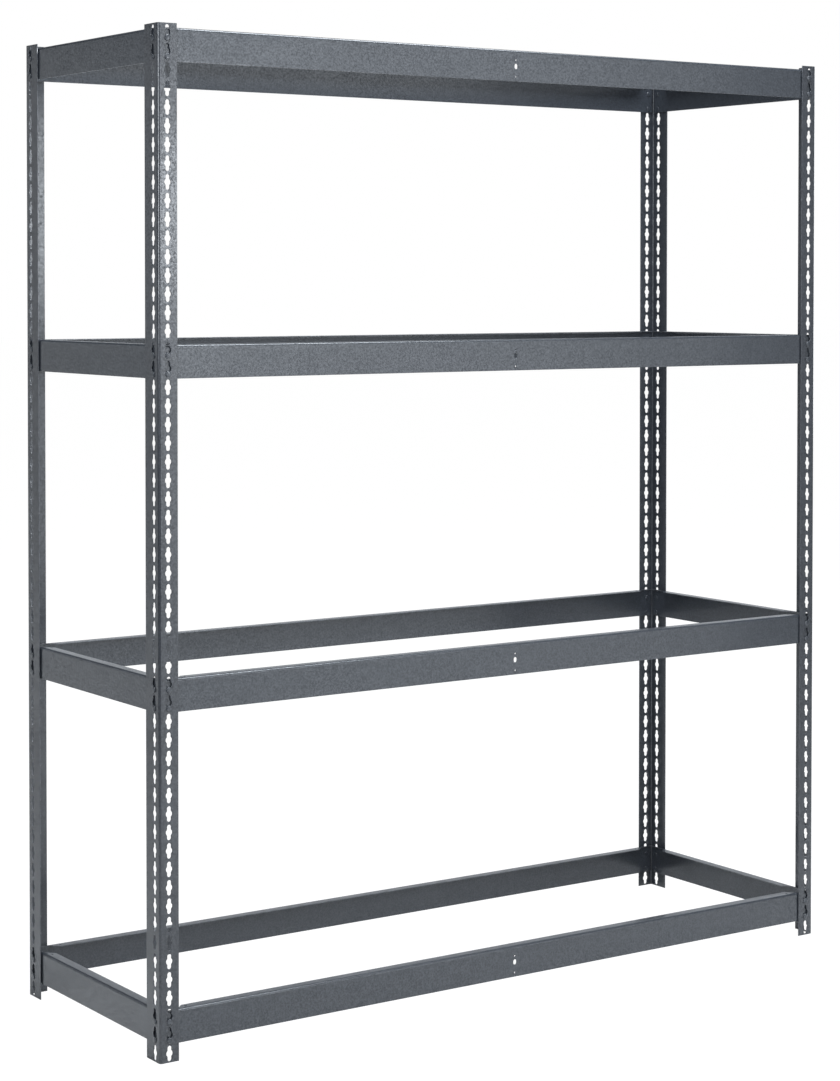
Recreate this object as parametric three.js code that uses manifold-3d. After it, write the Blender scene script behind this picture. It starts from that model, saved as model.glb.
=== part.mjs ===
// Boltless steel shelving: an open frame of four slotted angle posts and sixteen
// flanged beams that hook into the posts with rivets. No decks are fitted.
// Millimetres, +Z up, front towards -Y. The origin is on the floor, in the middle.

import * as THREE from 'three';
import { mergeGeometries, mergeVertices } from 'three/addons/utils/BufferGeometryUtils.js';
import Module from 'manifold-3d';

const wasm = await Module();
wasm.setup();

// Driving dimensions of the frame
const WIDTH = 1828.8;            // over the outer faces of the posts, along X
const DEPTH = 609.6;             // over the outer faces of the posts, along Y
const SLOT_PITCH = 38.1;
const SLOTS_PER_POST = 56;
const HEIGHT = SLOT_PITCH * SLOTS_PER_POST;
const SHEET = 2;                 // steel thickness, posts and beams alike
const CUT_MARGIN = 1;            // how far a cutting solid runs past the face it opens

// Posts: unequal angles, the wide flange facing the side of the unit
const POST_FRONT_FLANGE = 44.45;
const POST_SIDE_FLANGE = 57.15;
const POST_BEND_RADIUS = 5;      // outside radius
const SLOT_INSET = 22.2;         // slot centreline from the post's outer corner

// Keyhole slot, narrow at both ends so that a rivet head is held there
const SLOT_HALF_HEIGHT = 16;
const SLOT_MIDDLE_HALF_WIDTH = 7.5;
const SLOT_END_HALF_WIDTH = 4.6;

// Beams: angles with the ledge at the top, turned inwards
const BEAM_HEIGHT = 69.85;
const BEAM_LEDGE = 25.4;
const BEAM_BEND_RADIUS = 5.5;    // outside radius
const BEAM_STANDOFF = 1.8;       // from the post's inner face to the beam's web
const BEAM_END_INSET = 10;       // from the post's outer corner to the web's end
const LEDGE_SETBACK = 1;         // from the post flange's free edge to the ledge's mitre

// Rivets, set into each end of a beam
const RIVET_HEIGHTS = [9.5, 9.5 + SLOT_PITCH];
const RIVET_SHANK_RADIUS = 4.2;
const RIVET_HEAD_RADIUS = 6.4;
const RIVET_HEAD_THICKNESS = 2;
const RIVET_HEAD_CLEARANCE = 0.3;
const RIVET_SIDES = 6;
const RIVET_DROP = 11.5;         // seated rivet's centre below the slot's centre

// Small holes in the beams
const SCREW_HOLE_RADIUS = 2.8;   // in the ledge, for fastening a deck
const SCREW_HOLE_FROM_MITRE = 24;
const SCREW_HOLE_FROM_WEB = 13.5;
const SCREW_HOLE_SIDES = 6;
const CENTRE_SLOT_RADIUS = 4.2;  // upright slot at mid-span of the front beams
const CENTRE_SLOT_STRAIGHT = 3.6;
const CENTRE_SLOT_HEIGHT = 33.5;
const CENTRE_SLOT_END_STEPS = 4;
const PILOT_HOLE_RADIUS = 1.7;
const PILOT_HOLE_SIDES = 6;

// Slot, counted from 1 at the floor, that holds each level's lower rivets
const LEVEL_SLOTS = [2, 20, 38, 55];

const BEND_SEGMENTS = 3;

const POST_PAINT = new THREE.MeshStandardMaterial({
  name: 'post_powder_coat', color: 0x4b4e55, roughness: 0.5, metalness: 0.1,
});
const BEAM_PAINT = new THREE.MeshStandardMaterial({
  name: 'beam_powder_coat', color: 0x575b63, roughness: 0.5, metalness: 0.1,
});

// Permutations that stand a flat outline up: its x, y and extrusion become these axes.
const ALONG_X = axesMatrix([0, 1, 0], [0, 0, 1], [1, 0, 0]);
const ALONG_Y = axesMatrix([1, 0, 0], [0, 0, 1], [0, -1, 0]);

function axesMatrix(x, y, z) {
  const axes = [x, y, z].map((axis) => new THREE.Vector3(...axis));
  return new THREE.Matrix4().makeBasis(...axes);
}

function prism(points, length) {
  const outline = new THREE.Shape(points.map(([x, y]) => new THREE.Vector2(x, y)));
  return new THREE.ExtrudeGeometry(outline, { depth: length, bevelEnabled: false });
}

function arc(centre, radius, from, to, segments = BEND_SEGMENTS) {
  return Array.from({ length: segments + 1 }, (_, i) => {
    const angle = THREE.MathUtils.degToRad(from + ((to - from) * i) / segments);
    return [centre[0] + radius * Math.cos(angle), centre[1] + radius * Math.sin(angle)];
  });
}

function polygon(centre, radius, sides) {
  const halfStep = 180 / sides;
  return arc(centre, radius, halfStep, halfStep + 360, sides).slice(0, sides);
}

function toSolid(geometry) {
  const bare = geometry.clone();
  bare.deleteAttribute('normal');
  bare.deleteAttribute('uv');
  const merged = mergeVertices(bare, 1e-4);
  return new wasm.Manifold(new wasm.Mesh({
    numProp: 3,
    vertProperties: new Float32Array(merged.attributes.position.array),
    triVerts: new Uint32Array(merged.index.array),
  }));
}

function toGeometry(solid) {
  const mesh = solid.getMesh();
  const geometry = new THREE.BufferGeometry();
  geometry.setAttribute('position', new THREE.BufferAttribute(mesh.vertProperties, 3));
  geometry.setIndex(new THREE.BufferAttribute(mesh.triVerts, 1));
  geometry.computeVertexNormals();
  return geometry;
}

// An angle section: one leg along x, one along y, with a rounded outer corner at 0, 0.
function angleSection(legX, legY, bendRadius) {
  const centre = [bendRadius, bendRadius];
  return [
    [legX, 0],
    [legX, SHEET],
    ...arc(centre, bendRadius - SHEET, 270, 180),
    [SHEET, legY],
    [0, legY],
    ...arc(centre, bendRadius, 180, 270),
  ];
}

// --- Posts ---------------------------------------------------------------------

function slotOutline(centreX, centreZ) {
  const half = [
    [SLOT_END_HALF_WIDTH, SLOT_HALF_HEIGHT],
    [SLOT_MIDDLE_HALF_WIDTH, 0],
    [SLOT_END_HALF_WIDTH, -SLOT_HALF_HEIGHT],
  ];
  const otherHalf = half.map(([x, z]) => [-x, z]).reverse();
  return [...half, ...otherHalf].map(([x, z]) => [centreX + x, centreZ + z]);
}

function slotHeight(number) {
  return SLOT_PITCH * (number - 0.5);
}

function slotCutters(signX) {
  const depth = SHEET + 2 * CUT_MARGIN;
  return Array.from({ length: SLOTS_PER_POST }, (_, i) => (
    prism(slotOutline(signX * SLOT_INSET, slotHeight(i + 1)), depth)
  ));
}

// signX and signY point from the post's outer corner towards the middle of the unit.
function postGeometry(signX, signY) {
  const section = angleSection(POST_FRONT_FLANGE, POST_SIDE_FLANGE, POST_BEND_RADIUS);
  const outline = section.map(([x, y]) => [signX * x, signY * y]);
  let post = toSolid(prism(outline, HEIGHT));

  const frontCutters = mergeGeometries(slotCutters(signX)).applyMatrix4(ALONG_Y);
  const frontFarSide = signY > 0 ? SHEET + CUT_MARGIN : CUT_MARGIN;
  frontCutters.translate(0, frontFarSide, 0);
  post = post.subtract(toSolid(frontCutters));

  const sideCutters = mergeGeometries(slotCutters(signY)).applyMatrix4(ALONG_X);
  const sideNearSide = signX > 0 ? -CUT_MARGIN : -SHEET - CUT_MARGIN;
  sideCutters.translate(sideNearSide, 0, 0);
  post = post.subtract(toSolid(sideCutters));
  return toGeometry(post);
}

function makePost(name, signX, signY) {
  const mesh = new THREE.Mesh(postGeometry(signX, signY), POST_PAINT);
  mesh.name = name;
  mesh.position.set((-signX * WIDTH) / 2, (-signY * DEPTH) / 2, 0);
  return mesh;
}

// --- Beams ---------------------------------------------------------------------
// A beam's own frame: x along its length with 0 at mid-span, y inwards from the
// outer face of the web, z up from the bottom edge.

function beamBlank(length) {
  const section = angleSection(BEAM_LEDGE, BEAM_HEIGHT, BEAM_BEND_RADIUS);
  const outline = section.map(([y, z]) => [y, BEAM_HEIGHT - z]);
  return toSolid(prism(outline, length).applyMatrix4(ALONG_X).translate(-length / 2, 0, 0));
}

// The ledge is cut off at 45 degrees, starting this far from the end of the web.
function mitreStart(postFlange) {
  return postFlange + LEDGE_SETBACK - BEAM_END_INSET;
}

function mitreCutter(end, halfLength, postFlange) {
  const tip = halfLength - mitreStart(postFlange);
  const outerY = BEAM_LEDGE + CUT_MARGIN;
  const plan = [
    [halfLength + CUT_MARGIN, BEAM_BEND_RADIUS],
    [tip, BEAM_BEND_RADIUS],
    [tip - (outerY - BEAM_BEND_RADIUS), outerY],
    [halfLength + CUT_MARGIN, outerY],
  ];
  const cutter = prism(plan.map(([x, y]) => [end * x, y]), SHEET + 2 * CUT_MARGIN);
  return toSolid(cutter.translate(0, 0, BEAM_HEIGHT - SHEET - CUT_MARGIN));
}

function ledgeHoleCutter(end, halfLength, postFlange) {
  const fromEnd = mitreStart(postFlange) + SCREW_HOLE_FROM_MITRE;
  const centre = [end * (halfLength - fromEnd), SCREW_HOLE_FROM_WEB];
  const hole = polygon(centre, SCREW_HOLE_RADIUS, SCREW_HOLE_SIDES);
  const cutter = prism(hole, SHEET + 2 * CUT_MARGIN);
  return toSolid(cutter.translate(0, 0, BEAM_HEIGHT - SHEET - CUT_MARGIN));
}

function webHoleCutter(outline) {
  const cutter = prism(outline, SHEET + 2 * CUT_MARGIN);
  return toSolid(cutter.applyMatrix4(ALONG_Y).translate(0, SHEET + CUT_MARGIN, 0));
}

function centreSlotOutline() {
  const top = [0, CENTRE_SLOT_HEIGHT + CENTRE_SLOT_STRAIGHT / 2];
  const bottom = [0, CENTRE_SLOT_HEIGHT - CENTRE_SLOT_STRAIGHT / 2];
  return [
    ...arc(top, CENTRE_SLOT_RADIUS, 0, 180, CENTRE_SLOT_END_STEPS),
    ...arc(bottom, CENTRE_SLOT_RADIUS, 180, 360, CENTRE_SLOT_END_STEPS),
  ];
}

// A rivet turned about its own axis, closed on the axis, then laid to point outwards.
function rivet(x, z) {
  const root = -SHEET / 2;
  const headUnderside = BEAM_STANDOFF + SHEET + RIVET_HEAD_CLEARANCE;
  const headTop = headUnderside + RIVET_HEAD_THICKNESS;
  const profile = [
    [0, root],
    [RIVET_SHANK_RADIUS, root],
    [RIVET_SHANK_RADIUS, headUnderside],
    [RIVET_HEAD_RADIUS, headUnderside],
    [RIVET_HEAD_RADIUS, headTop],
    [0, headTop],
  ];
  const points = profile.map(([radius, y]) => new THREE.Vector2(radius, y));
  const turned = new THREE.LatheGeometry(points, RIVET_SIDES);
  return toSolid(turned.rotateX(Math.PI).translate(x, 0, z));
}

function beamGeometry(span, postFlange, hasCentreHoles) {
  const length = span - 2 * BEAM_END_INSET;
  const halfLength = length / 2;
  let beam = beamBlank(length);
  for (const end of [-1, 1]) {
    beam = beam.subtract(mitreCutter(end, halfLength, postFlange));
    beam = beam.subtract(ledgeHoleCutter(end, halfLength, postFlange));
    for (const height of RIVET_HEIGHTS) {
      const fromEnd = SLOT_INSET - BEAM_END_INSET;
      beam = beam.add(rivet(end * (halfLength - fromEnd), height));
    }
  }
  if (hasCentreHoles) {
    beam = beam.subtract(webHoleCutter(centreSlotOutline()));
    for (const height of RIVET_HEIGHTS) {
      const pilot = polygon([0, height], PILOT_HOLE_RADIUS, PILOT_HOLE_SIDES);
      beam = beam.subtract(webHoleCutter(pilot));
    }
  }
  return toGeometry(beam);
}

function levelHeight(level) {
  return slotHeight(LEVEL_SLOTS[level]) - RIVET_DROP - RIVET_HEIGHTS[0];
}

function makeBeam(name, geometry, x, y, z, turn) {
  const mesh = new THREE.Mesh(geometry, BEAM_PAINT);
  mesh.name = name;
  mesh.position.set(x, y, z);
  mesh.rotation.z = turn;
  return mesh;
}

// --- Assembly ------------------------------------------------------------------

const group = new THREE.Group();

group.add(makePost('post_front_left', 1, 1));
group.add(makePost('post_front_right', -1, 1));
group.add(makePost('post_rear_left', 1, -1));
group.add(makePost('post_rear_right', -1, -1));

const frontBeam = beamGeometry(WIDTH, POST_FRONT_FLANGE, true);
const rearBeam = beamGeometry(WIDTH, POST_FRONT_FLANGE, false);
const sideBeam = beamGeometry(DEPTH, POST_SIDE_FLANGE, false);
const faceInset = SHEET + BEAM_STANDOFF;
const beamX = WIDTH / 2 - faceInset;
const beamY = DEPTH / 2 - faceInset;

LEVEL_SLOTS.forEach((_, level) => {
  const z = levelHeight(level);
  const number = level + 1;
  group.add(makeBeam(`beam_front_${number}`, frontBeam, 0, -beamY, z, 0));
  group.add(makeBeam(`beam_rear_${number}`, rearBeam, 0, beamY, z, Math.PI));
  group.add(makeBeam(`beam_left_${number}`, sideBeam, -beamX, 0, z, -Math.PI / 2));
  group.add(makeBeam(`beam_right_${number}`, sideBeam, beamX, 0, z, Math.PI / 2));
});

export default group;
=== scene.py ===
"""Boltless steel shelving: folded sheet, keyhole slots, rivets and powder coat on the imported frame."""

import math

import bmesh
import bpy
import numpy as np
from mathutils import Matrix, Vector
from mathutils.geometry import delaunay_2d_cdt


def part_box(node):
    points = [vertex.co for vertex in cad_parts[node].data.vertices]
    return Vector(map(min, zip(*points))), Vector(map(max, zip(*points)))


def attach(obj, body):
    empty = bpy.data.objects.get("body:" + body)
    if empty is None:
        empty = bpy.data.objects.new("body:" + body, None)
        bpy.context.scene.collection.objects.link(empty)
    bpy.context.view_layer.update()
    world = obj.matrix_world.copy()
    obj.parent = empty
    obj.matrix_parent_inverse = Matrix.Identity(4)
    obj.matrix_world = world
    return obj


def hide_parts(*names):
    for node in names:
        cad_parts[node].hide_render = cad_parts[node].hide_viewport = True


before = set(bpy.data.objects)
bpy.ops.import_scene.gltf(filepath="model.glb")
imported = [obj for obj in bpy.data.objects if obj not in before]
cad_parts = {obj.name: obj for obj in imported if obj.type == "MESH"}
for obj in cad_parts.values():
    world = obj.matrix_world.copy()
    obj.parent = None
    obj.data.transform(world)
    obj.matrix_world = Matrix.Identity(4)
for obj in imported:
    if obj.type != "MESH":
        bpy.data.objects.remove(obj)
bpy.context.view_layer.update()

# Sheet and folds, in metres
SHEET = 0.002
EDGE_RADIUS = 0.0004
EDGE_STEPS = 2
FOLD_STEPS = 8
POST_FOLD_RADIUS = 0.005
BEAM_FOLD_RADIUS = 0.0055

# Keyhole slots in the posts
SLOT_PITCH = 0.0381
SLOT_INSET = 0.0222
SLOT_HALF_HEIGHT = 0.016
SLOT_MIDDLE_RADIUS = 0.0075
SLOT_END_RADIUS = 0.0046
SLOT_MIDDLE_STEPS = 5
SLOT_END_STEPS = 8

# Beams
BEAM_LEDGE = 0.0254
BEAM_END_INSET = 0.01
LEDGE_SETBACK = 0.001
SCREW_HOLE_RADIUS = 0.0028
SCREW_HOLE_FROM_MITRE = 0.024
SCREW_HOLE_FROM_WEB = 0.0135
CENTRE_HOLE_RADIUS = 0.0042
CENTRE_HOLE_STRAIGHT = 0.0018
CENTRE_HOLE_HEIGHT = 0.0335
PILOT_HOLE_RADIUS = 0.0017
HOLE_STEPS = 20

# Rivets: radii, then thicknesses and gaps along the axis
RIVET_HEIGHTS = (0.0095, 0.0095 + SLOT_PITCH)
RIVET_SHANK = 0.0042
RIVET_HEAD = 0.0064
RIVET_TAIL = 0.0058
RIVET_SLACK = 0.00005             # round the shank in its hole, and under the tail
RIVET_HOLE = RIVET_SHANK + RIVET_SLACK
RIVET_SIDES = 32
RIVET_STANDOFF = 0.0018           # from the web's outer face to the post's inner face
RIVET_HEAD_GAP = 0.0003           # from the post's outer face to the head
RIVET_HEAD_THICKNESS = 0.002
RIVET_TAIL_THICKNESS = 0.0012
# Rounded rims as (in from the rim, outwards from the tail's end or from the head's seat)
TAIL_RIM = ((0.0008, 0), (0.0002, 0.0003), (0, 0.0007))
HEAD_RIM = ((0.0003, 0), (0, 0.0003), (0, 0.0009), (0.0003, 0.0014), (0.0010, 0.0018))
CROWN_SHARE = 0.55                # of the head's radius, where the nearly flat crown starts
CROWN_RISE = 0.00005              # from the crown's start to its middle

# Powder coat: each noise is (scale, detail), and tints multiply the paint's own colour
POST_COLOUR = (0.024, 0.027, 0.033)
# The edge colours are a lighter coat on rounded cut edges and rivet head rims: part rubbed wear, part
# painted highlight
POST_RUBBED_AND_HIGHLIT_EDGE_COLOUR = (0.12, 0.125, 0.14)
BEAM_COLOUR = (0.027, 0.031, 0.038)
BEAM_RUBBED_AND_HIGHLIT_EDGE_COLOUR = (0.15, 0.155, 0.17)
COAT_ROUGHNESS = 0.14
BASE_ROUGHNESS = (0.28, 0.36)
NOISE_RANGE = (0.3, 0.7)
ORANGE_PEEL = (650, 2)
SPECKLE = (1900, 1)
MOTTLE = (260, 2)
CLOUDING = (5, 4)
EDGE_RUB_AND_HIGHLIGHT = (60, 3)
GLOSS = (22, 3)
CLOUD_TINTS = (0.92, 1.12)
MOTTLE_TINT = 2
SPECKLE_TINT = 0.5
SPECKLE_SHARE = 0.5
EDGE_RUB_AND_HIGHLIGHT_SHARE = (0.1, 0.7)
PEEL_STRENGTH = 0.35
PEEL_DEPTH = 0.00006

# Camera: millimetres for the lens and sensor, degrees for the turn
CAMERA_LENS = 82.09
CAMERA_SENSOR = 36
CAMERA_SHIFT = (0.0324, -0.1768)
CAMERA_PLACE = (-3.3448, -4.7206, 1.6)
CAMERA_TURN = (88.5, 0, -34.08)

# Lights: the point most of them face, and the row of tall panels on an arc round the front right
LIGHT_COLOUR = (0.90, 0.95, 1.0)
MIDDLE = (0, 0, 1.1)
ROW_POWERS = (24, 20, 8)
ROW_START = 22                    # degrees to the right of straight ahead
ROW_STEP = 11.5
ROW_RADIUS = 7.07
ROW_HEIGHT = 1.9
ROW_SIZE = (1.4, 3.6)

# Room: white to the camera, a faint cool fill and a pale floor to everything else
WHITE = (1, 1, 1, 1)
FILL_COLOUR = (0.95, 0.97, 1, 1)
FILL_STRENGTH = 0.1
FLOOR_HALF = 60
FLOOR_GREY = 0.8
FLOOR_GREY_DIFFUSE = 0.32         # met by diffuse rays, so that the floor lights the steel less
FLOOR_GLOW = 1.1
FLOOR_GLOW_SHARE = 0.9

UP = Vector((0, 0, 1))
MERGE_DISTANCE = 1e-6             # between points of the flat pattern


# --- Sheet metal -----------------------------------------------------------------


def arc(centre, radius, start, end, steps):
    """Points on an arc, from and to included, angles in degrees."""
    angles = [math.radians(start + (end - start) * i / steps) for i in range(steps + 1)]
    return [(centre[0] + radius * math.cos(a), centre[1] + radius * math.sin(a)) for a in angles]


def circle(centre, radius):
    return arc(centre, radius, 0, 360, HOLE_STEPS)[:-1]


def upright_slot(centre, radius, straight):
    """A slot with round ends, long along its first coordinate."""
    u, s = centre
    return arc((u + straight, s), radius, -90, 90, HOLE_STEPS // 2) + arc(
        (u - straight, s), radius, 90, 270, HOLE_STEPS // 2
    )


def keyhole(centre):
    """A round opening with a narrow round-ended slot above and below it."""
    u, s = centre
    neck = math.degrees(math.acos(SLOT_END_RADIUS / SLOT_MIDDLE_RADIUS))
    end = SLOT_HALF_HEIGHT - SLOT_END_RADIUS
    right = arc(centre, SLOT_MIDDLE_RADIUS, -neck, neck, 2 * SLOT_MIDDLE_STEPS)
    top = arc((u, s + end), SLOT_END_RADIUS, 0, 180, SLOT_END_STEPS)
    left = arc(centre, SLOT_MIDDLE_RADIUS, 180 - neck, 180 + neck, 2 * SLOT_MIDDLE_STEPS)
    bottom = arc((u, s - end), SLOT_END_RADIUS, 180, 360, SLOT_END_STEPS)
    return right + top + left + bottom


class Angle:
    """Sheet folded once. The flat coordinate u runs from leg a's free edge to leg b's."""

    def __init__(self, leg_a, leg_b, radius):
        self.leg_a = leg_a
        self.radius = radius
        self.fold_start = leg_a - radius
        self.fold_end = self.fold_start + radius * math.pi / 2
        self.width = self.fold_end + leg_b - radius

    def on_leg_a(self, from_corner):
        return self.leg_a - from_corner

    def on_leg_b(self, from_corner):
        return self.fold_end + from_corner - self.radius

    def folds(self):
        return [
            self.fold_start + (self.fold_end - self.fold_start) * i / FOLD_STEPS
            for i in range(FOLD_STEPS + 1)
        ]

    def section(self, u, depth):
        """Distances along legs a and b from the outer corner, at a depth below the outer face."""
        turn = np.clip((u - self.fold_start) / self.radius, 0, math.pi / 2)
        inner = self.radius - depth
        a = self.radius - inner * np.sin(turn) + np.clip(self.fold_start - u, 0, None)
        b = self.radius - inner * np.cos(turn) + np.clip(u - self.fold_end, 0, None)
        return a, b


def inside(spots, loops):
    """Which spots lie inside the first loop and outside the others."""
    odd = np.zeros(len(spots), bool)
    for loop in loops:
        for (u0, s0), (u1, s1) in zip(loop, loop[1:] + loop[:1]):
            if s0 == s1:
                continue
            crossing = u0 + (spots[:, 1] - s0) / (s1 - s0) * (u1 - u0)
            odd ^= ((s0 > spots[:, 1]) != (s1 > spots[:, 1])) & (spots[:, 0] < crossing)
    return odd


def flat_pattern(outline, holes, lines):
    """Triangles of the flat sheet, less its holes and split along the lines."""
    loops = [outline, *holes]
    points, edges = [], []
    for loop in loops:
        first = len(points)
        points += loop
        edges += [(first + i, first + (i + 1) % len(loop)) for i in range(len(loop))]
    for line in lines:
        edges.append((len(points), len(points) + 1))
        points += line
    vertices, _, faces, *_ = delaunay_2d_cdt(
        [Vector(p) for p in points], edges, [], 0, MERGE_DISTANCE, False
    )
    spots = np.array([tuple(v) for v in vertices])
    triangles = np.array(faces)
    return spots, triangles[inside(spots[triangles].mean(axis=1), loops)]


def rim_edges(triangles):
    """Edges with a triangle on one side only, the sheet on their left."""
    directed = {(t[i], t[(i + 1) % 3]) for t in triangles.tolist() for i in range(3)}
    return sorted(e for e in directed if (e[1], e[0]) not in directed)


def rim_inward(spots, rim):
    """For each spot on the rim, the move that takes both its edges one unit into the sheet."""
    total = np.zeros_like(spots)
    for a, b in rim:
        along = spots[b] - spots[a]
        left = np.array([-along[1], along[0]]) / np.linalg.norm(along)
        total[a] += left
        total[b] += left
    square = (total**2).sum(axis=1, keepdims=True)
    return np.divide(2 * total, square, out=np.zeros_like(total), where=square > 0)


def rounding():
    """(inset, depth) down one rounded edge of the sheet, wall and the other rounded edge."""
    down = []
    for i in range(1, EDGE_STEPS + 1):
        turn = math.pi / 2 * i / EDGE_STEPS
        down.append((EDGE_RADIUS * (1 - math.sin(turn)), EDGE_RADIUS * (1 - math.cos(turn))))
    return down + [(inset, SHEET - depth) for inset, depth in reversed(down)]


def thicken(pattern):
    """Rows of (u, s, depth, edge) and the faces of the closed sheet."""
    spots, triangles = pattern
    rim = rim_edges(triangles)
    inward = rim_inward(spots, rim)
    on_rim = sorted({v for edge in rim for v in edge})
    place = {v: i for i, v in enumerate(on_rim)}
    count = len(spots)

    def layer(which, inset, depth, edge):
        moved = spots[which] + inset * inward[which]
        extra = np.tile((depth, edge), (len(which), 1))
        return np.hstack([moved, extra])

    everything = list(range(count))
    rows = [layer(everything, EDGE_RADIUS, 0, 0), layer(everything, EDGE_RADIUS, SHEET, 0)]
    # The rounded rims get edge 1, which takes the lighter coat: part rubbed wear, part painted highlight
    rows += [layer(on_rim, inset, depth, 1) for inset, depth in rounding()]

    faces = [tuple(t) for t in triangles.tolist()]
    faces += [tuple(count + v for v in reversed(t)) for t in triangles.tolist()]
    steps = len(rounding())
    for a, b in rim:
        rings = [2 * count + i * len(on_rim) for i in range(steps)]
        line_a = [a, *(ring + place[a] for ring in rings), count + a]
        line_b = [b, *(ring + place[b] for ring in rings), count + b]
        for i in range(steps + 1):
            faces.append((line_b[i], line_a[i], line_a[i + 1], line_b[i + 1]))
    return np.vstack(rows), faces


def mesh_object(name, points, faces, edge, material):
    mesh = bpy.data.meshes.new(name)
    mesh.from_pydata(points, [], faces)
    mesh.attributes.new("edge", "FLOAT", "POINT").data.foreach_set("value", edge)
    work = bmesh.new()
    work.from_mesh(mesh)
    bmesh.ops.recalc_face_normals(work, faces=work.faces)
    for face in work.faces:
        face.smooth = True
    work.to_mesh(mesh)
    work.free()
    mesh.materials.append(material)
    piece = bpy.data.objects.new(name, mesh)
    bpy.context.scene.collection.objects.link(piece)
    piece.modifiers.new("even_shading", "WEIGHTED_NORMAL")
    return piece


def fold_sheet(name, sheet, angle, origin, axes, material):
    """A folded piece: leg a, leg b and the length lie along the three axes from the origin."""
    rows, faces = sheet
    a, b = angle.section(rows[:, 0], rows[:, 2])
    points = np.array(origin) + np.stack([a, b, rows[:, 1]], axis=1) @ np.array(axes, float)
    return mesh_object(name, points.tolist(), faces, rows[:, 3], material)


# --- Materials ---------------------------------------------------------------------


def powder_coat(name, colour, rubbed_and_highlit_edge_colour):
    """Semi-gloss powder coat: fine orange peel, faint clouding, and a lighter film on edges that is part
    rubbed wear, part painted highlight.
    """
    material = bpy.data.materials.new(name)
    material.use_nodes = True
    nodes, links = material.node_tree.nodes, material.node_tree.links
    shader = nodes["Principled BSDF"]
    shader.inputs["Metallic"].default_value = 0.0
    shader.inputs["Coat Roughness"].default_value = COAT_ROUGHNESS

    place = nodes.new("ShaderNodeTexCoord")

    def noise(scale, detail):
        texture = nodes.new("ShaderNodeTexNoise")
        texture.inputs["Scale"].default_value = scale
        texture.inputs["Detail"].default_value = detail
        links.new(place.outputs["Object"], texture.inputs["Vector"])
        return texture.outputs["Fac"]

    def spread(value, low, high):
        """Stretch the middle of a noise's range to run from low to high."""
        ramp = nodes.new("ShaderNodeMapRange")
        ramp.inputs["From Min"].default_value, ramp.inputs["From Max"].default_value = NOISE_RANGE
        ramp.inputs["To Min"].default_value = low
        ramp.inputs["To Max"].default_value = high
        links.new(value, ramp.inputs["Value"])
        return ramp.outputs["Result"]

    def mix(factor, first, second):
        node = nodes.new("ShaderNodeMix")
        node.data_type = "RGBA"
        for socket, value in (("Factor_Float", factor), ("A_Color", first), ("B_Color", second)):
            target = next(i for i in node.inputs if i.identifier == socket)
            if isinstance(value, bpy.types.NodeSocket):
                links.new(value, target)
            else:
                target.default_value = value
        return next(o for o in node.outputs if o.identifier == "Result_Color")

    def tint(factor):
        return (*[channel * factor for channel in colour], 1)

    mottle = noise(*MOTTLE)
    clouds = [tint(factor) for factor in CLOUD_TINTS]
    clouded = mix(spread(noise(*CLOUDING), 0, 1), *clouds)
    mottled = mix(spread(mottle, 0, 1), clouded, tint(MOTTLE_TINT))
    speckled = mix(spread(noise(*SPECKLE), 0, SPECKLE_SHARE), mottled, tint(SPECKLE_TINT))
    # Lighter coat on the edges, broken up by noise: part rubbed wear, part painted highlight along the
    # rims
    edge = nodes.new("ShaderNodeAttribute")
    edge.attribute_name = "edge"
    edge_rub_and_highlight = nodes.new("ShaderNodeMath")
    edge_rub_and_highlight.operation = "MULTIPLY"
    links.new(edge.outputs["Fac"], edge_rub_and_highlight.inputs[0])
    links.new(spread(noise(*EDGE_RUB_AND_HIGHLIGHT), *EDGE_RUB_AND_HIGHLIGHT_SHARE), edge_rub_and_highlight.inputs[1])
    links.new(mix(edge_rub_and_highlight.outputs[0], speckled, (*rubbed_and_highlit_edge_colour, 1)), shader.inputs["Base Color"])

    links.new(spread(noise(*GLOSS), *BASE_ROUGHNESS), shader.inputs["Roughness"])
    links.new(spread(mottle, 0, 1), shader.inputs["Coat Weight"])

    bump = nodes.new("ShaderNodeBump")
    bump.inputs["Strength"].default_value = PEEL_STRENGTH
    bump.inputs["Distance"].default_value = PEEL_DEPTH
    links.new(noise(*ORANGE_PEEL), bump.inputs["Height"])
    links.new(bump.outputs["Normal"], shader.inputs["Normal"])
    return material


post_paint = powder_coat("post_powder_coat", POST_COLOUR, POST_RUBBED_AND_HIGHLIT_EDGE_COLOUR)
beam_paint = powder_coat("beam_powder_coat", BEAM_COLOUR, BEAM_RUBBED_AND_HIGHLIT_EDGE_COLOUR)


# --- Posts -------------------------------------------------------------------------


def post_sheet(angle, height):
    """The post's flat pattern, with a row of slots in each leg."""
    outline = [(0, 0), (angle.width, 0), (angle.width, height), (0, height)]
    count = round(height / SLOT_PITCH)
    columns = [angle.on_leg_a(SLOT_INSET), angle.on_leg_b(SLOT_INSET)]
    holes = [keyhole((u, SLOT_PITCH * (i + 0.5))) for u in columns for i in range(count)]
    lines = [[(u, 0), (u, height)] for u in angle.folds()]
    lines += [[(0, SLOT_PITCH * i), (angle.width, SLOT_PITCH * i)] for i in range(1, count)]
    return thicken(flat_pattern(outline, holes, lines))


def make_posts():
    names = [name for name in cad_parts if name.startswith("post_")]
    low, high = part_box(names[0])
    size = high - low
    angle = Angle(size.x, size.y, POST_FOLD_RADIUS)
    sheet = post_sheet(angle, size.z)
    for name in names:
        low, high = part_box(name)
        side = 1 if low.x < 0 else -1
        face = 1 if low.y < 0 else -1
        corner = (low.x if side > 0 else high.x, low.y if face > 0 else high.y, low.z)
        axes = [(side, 0, 0), (0, face, 0), (0, 0, 1)]
        piece_name = name.replace("post", "slotted_post")
        post = fold_sheet(piece_name, sheet, angle, corner, axes, post_paint)
        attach(post, "posts")
        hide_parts(name)


# --- Beams -------------------------------------------------------------------------


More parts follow.
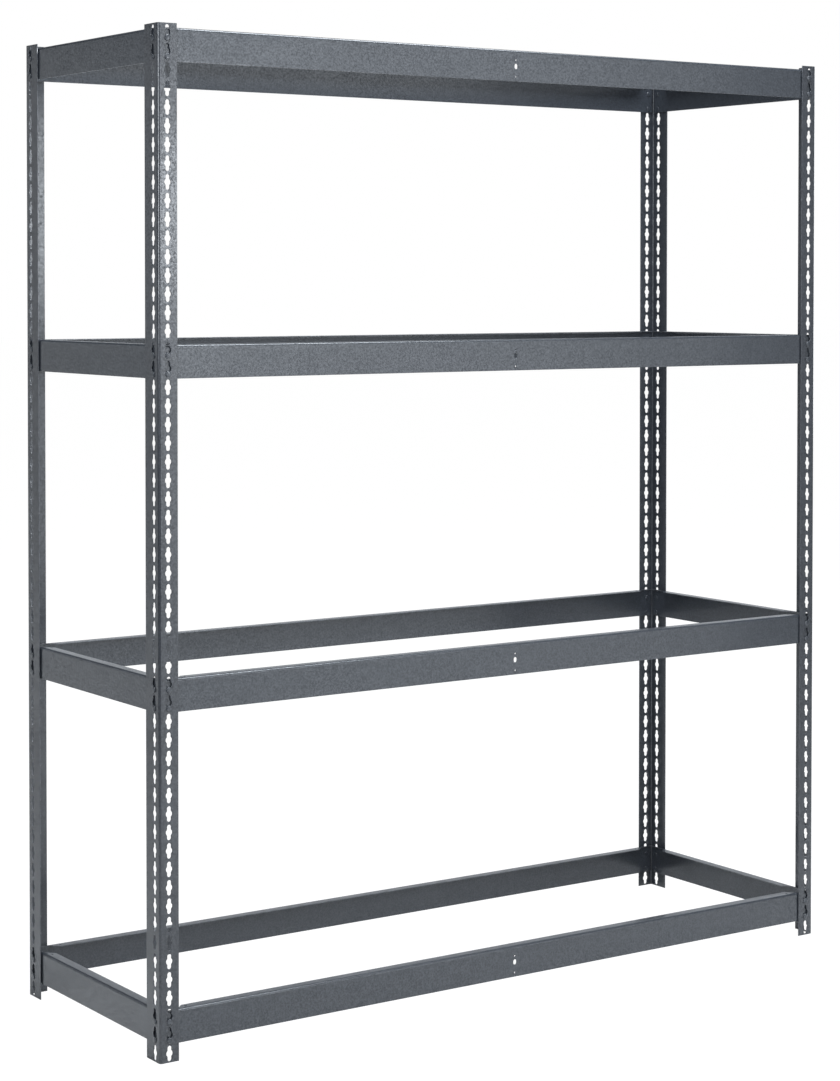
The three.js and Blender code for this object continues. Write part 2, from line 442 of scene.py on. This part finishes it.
def beam_sheet(angle, length, post_flange, centred_holes):
    """The beam's flat pattern: ledge, fold and web, with mitred ledge ends and its holes."""
    end = length / 2
    tip = end + BEAM_END_INSET - post_flange - LEDGE_SETBACK
    inner = tip - angle.fold_start
    outline = [
        (0, -inner),
        (angle.fold_start, -tip),
        (angle.fold_start, -end),
        (angle.width, -end),
        (angle.width, end),
        (angle.fold_start, end),
        (angle.fold_start, tip),
        (0, inner),
    ]
    holes = []
    for side in (-1, 1):
        screw = (angle.on_leg_a(SCREW_HOLE_FROM_WEB), side * (tip - SCREW_HOLE_FROM_MITRE))
        holes.append(circle(screw, SCREW_HOLE_RADIUS))
        rivet = side * (end + BEAM_END_INSET - SLOT_INSET)
        holes += [circle((angle.width - height, rivet), RIVET_HOLE) for height in RIVET_HEIGHTS]
    if centred_holes:
        centre = (angle.width - CENTRE_HOLE_HEIGHT, 0)
        holes.append(upright_slot(centre, CENTRE_HOLE_RADIUS, CENTRE_HOLE_STRAIGHT))
        holes += [circle((angle.width - height, 0), PILOT_HOLE_RADIUS) for height in RIVET_HEIGHTS]
    lines = [[(u, -end), (u, end)] for u in angle.folds()]
    return thicken(flat_pattern(outline, holes, lines))


def rivet_profile():
    """(radius, distance out from the web's outer face), from the inner tail to the outer head."""
    tail = -SHEET - RIVET_TAIL_THICKNESS
    seat = -SHEET - RIVET_SLACK
    head = RIVET_STANDOFF + SHEET + RIVET_HEAD_GAP
    top = head + RIVET_HEAD_THICKNESS
    return [
        (0, tail),
        *((RIVET_TAIL - inset, tail + out) for inset, out in TAIL_RIM),
        (RIVET_TAIL, seat),
        (RIVET_SHANK, seat),
        (RIVET_SHANK, head),
        *((RIVET_HEAD - inset, head + out) for inset, out in HEAD_RIM),
        (RIVET_HEAD * CROWN_SHARE, top - CROWN_RISE),
        (0, top),
    ]


def make_rivet(name, centre, outward, body):
    profile = rivet_profile()
    across = outward.cross(UP)
    points, faces, edge = [], [], []
    for radius, out in profile:
        for i in range(RIVET_SIDES if radius else 1):
            turn = 2 * math.pi * i / RIVET_SIDES
            spoke = across * math.cos(turn) + UP * math.sin(turn)
            points.append(centre + outward * out + spoke * radius)
            # The head's rim gets edge 1, which takes the lighter coat: part rubbed wear, part painted
            # highlight
            edge.append(1.0 if radius == RIVET_HEAD else 0.0)
    last = len(points) - 1
    rings = [1 + RIVET_SIDES * i for i in range(len(profile) - 2)]
    for i in range(RIVET_SIDES):
        j = (i + 1) % RIVET_SIDES
        faces.append((0, rings[0] + i, rings[0] + j))
        faces.append((last, rings[-1] + j, rings[-1] + i))
        for near, far in zip(rings, rings[1:]):
            faces.append((near + i, far + i, far + j, near + j))
    rivet = mesh_object(name, points, faces, edge, beam_paint)
    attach(rivet, body)


SIDES = {
    # side: (inwards, along, names of the two ends)
    "front": ((0, 1, 0), (1, 0, 0), ("left", "right")),
    "rear": ((0, -1, 0), (1, 0, 0), ("left", "right")),
    "left": ((1, 0, 0), (0, 1, 0), ("front", "rear")),
    "right": ((-1, 0, 0), (0, 1, 0), ("front", "rear")),
}


def make_beams():
    post_low, post_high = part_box("post_front_left")
    flanges = {"front": post_high.x - post_low.x, "left": post_high.y - post_low.y}
    flanges["rear"], flanges["right"] = flanges["front"], flanges["left"]
    sheets = {}
    for node in [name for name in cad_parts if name.startswith("beam_")]:
        side, level = node.split("_")[1:]
        inward, along, ends = SIDES[side]
        inward, along = Vector(inward), Vector(along)
        low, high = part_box(node)
        length = (high - low).dot(along)
        angle = Angle(BEAM_LEDGE, high.z - low.z, BEAM_FOLD_RADIUS)
        kind = "side" if side in ("left", "right") else side
        if kind not in sheets:
            sheets[kind] = beam_sheet(angle, length, flanges[side], kind == "front")
        free_edge = max(low.dot(inward), high.dot(inward))
        middle = (low + high) / 2
        web = middle + inward * (free_edge - BEAM_LEDGE - middle.dot(inward))
        corner = Vector((web.x, web.y, high.z))
        axes = [inward, (0, 0, -1), along]
        beam = fold_sheet(f"angle_{node}", sheets[kind], angle, corner, axes, beam_paint)
        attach(beam, node)
        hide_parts(node)
        reach = length / 2 + BEAM_END_INSET - SLOT_INSET
        for sign, end in zip((-1, 1), ends):
            for height, place in zip(RIVET_HEIGHTS, ("lower", "upper")):
                centre = Vector((web.x, web.y, low.z + height)) + along * sign * reach
                make_rivet(f"rivet_{side}_{level}_{end}_{place}", centre, -inward, node)


# --- Camera, light and floor ----------------------------------------------------------


def make_camera():
    data = bpy.data.cameras.new("camera")
    data.lens = CAMERA_LENS
    data.sensor_width = CAMERA_SENSOR
    data.shift_x, data.shift_y = CAMERA_SHIFT
    camera = bpy.data.objects.new("camera", data)
    camera.location = CAMERA_PLACE
    camera.rotation_euler = [math.radians(angle) for angle in CAMERA_TURN]
    bpy.context.scene.collection.objects.link(camera)
    bpy.context.scene.camera = camera


def soft_light(name, place, target, size, power):
    """A panel turned to its target, unseen by the camera."""
    data = bpy.data.lights.new(name, "AREA")
    data.shape = "RECTANGLE"
    data.size, data.size_y = size
    data.energy = power
    data.color = LIGHT_COLOUR
    light = bpy.data.objects.new(name, data)
    light.location = place
    light.rotation_euler = (Vector(target) - Vector(place)).to_track_quat("-Z", "Y").to_euler()
    light.visible_camera = False
    bpy.context.scene.collection.objects.link(light)


def make_lights():
    soft_light("overhead", (0.2, -1.2, 5.2), target=MIDDLE, size=(4.5, 1.8), power=370)
    for number, power in enumerate(ROW_POWERS):
        turn = math.radians(ROW_START + ROW_STEP * number)
        place = (ROW_RADIUS * math.sin(turn), -ROW_RADIUS * math.cos(turn), ROW_HEIGHT)
        soft_light(f"front_{number + 1}", place, MIDDLE, ROW_SIZE, power)
    # The near panel lifts the front beams, the spot and the corner panel the front left post
    soft_light("front_near", (0.6, -1.6, 1.35), target=(0.6, 0, 1.35), size=(2.4, 2.6), power=15)
    soft_light("front_spot", (2.0, -5.6, 1.95), target=(-0.9, -0.3, 1.75), size=(0.7, 0.8), power=17)
    soft_light("back", (2.8, 6.5, 1.3), target=MIDDLE, size=(7.0, 2.4), power=36)
    soft_light("back_left", (-2.4, 2.7, 1.3), target=(-0.9, 0, 1.2), size=(1.5, 2.4), power=6)
    soft_light("corner", (-2.67, -1.61, 2.0), target=(-0.9, -0.3, 1.85), size=(1.7, 1.1), power=45)
    soft_light("right", (5.5, 2.0, 2.4), target=MIDDLE, size=(3.0, 3.0), power=120)


def make_world():
    world = bpy.data.worlds.new("studio")
    world.use_nodes = True
    nodes, links = world.node_tree.nodes, world.node_tree.links
    seen = nodes["Background"]
    seen.inputs["Color"].default_value = WHITE
    seen.inputs["Strength"].default_value = 1.0
    fill = nodes.new("ShaderNodeBackground")
    fill.inputs["Color"].default_value = FILL_COLOUR
    fill.inputs["Strength"].default_value = FILL_STRENGTH
    camera_ray_mix(nodes, links, fill, seen, nodes["World Output"])
    bpy.context.scene.world = world


def camera_ray_mix(nodes, links, others, seen, output):
    """The camera sees one shader and every other ray meets the other."""
    path = nodes.new("ShaderNodeLightPath")
    pick = nodes.new("ShaderNodeMixShader")
    links.new(path.outputs["Is Camera Ray"], pick.inputs[0])
    links.new(others.outputs[0], pick.inputs[1])
    links.new(seen.outputs[0], pick.inputs[2])
    links.new(pick.outputs[0], output.inputs["Surface"])


def make_floor():
    """Pale and evenly lit to the camera, so that only a faint shadow shows under the posts."""
    mesh = bpy.data.meshes.new("floor")
    corners = [(x * FLOOR_HALF, y * FLOOR_HALF, 0) for x, y in ((-1, -1), (1, -1), (1, 1), (-1, 1))]
    mesh.from_pydata(corners, [], [(0, 1, 2, 3)])
    material = bpy.data.materials.new("floor")
    material.use_nodes = True
    nodes, links = material.node_tree.nodes, material.node_tree.links
    nodes.remove(nodes["Principled BSDF"])

    def matt(grey):
        shader = nodes.new("ShaderNodeBsdfDiffuse")
        shader.inputs["Color"].default_value = (grey, grey, grey, 1)
        return shader

    def blend(first, second):
        shader = nodes.new("ShaderNodeMixShader")
        links.new(first.outputs[0], shader.inputs[1])
        links.new(second.outputs[0], shader.inputs[2])
        return shader

    pale, dim = matt(FLOOR_GREY), matt(FLOOR_GREY_DIFFUSE)
    mirrored = blend(pale, dim)
    path = nodes.new("ShaderNodeLightPath")
    links.new(path.outputs["Is Diffuse Ray"], mirrored.inputs[0])
    glow = nodes.new("ShaderNodeEmission")
    glow.inputs["Strength"].default_value = FLOOR_GLOW
    shown = blend(pale, glow)
    shown.inputs[0].default_value = FLOOR_GLOW_SHARE
    camera_ray_mix(nodes, links, mirrored, shown, nodes["Material Output"])
    mesh.materials.append(material)
    floor = bpy.data.objects.new("floor", mesh)
    bpy.context.scene.collection.objects.link(floor)


bpy.context.scene.view_settings.view_transform = "Standard"
make_camera()
make_lights()
make_world()
make_floor()
make_posts()
make_beams()
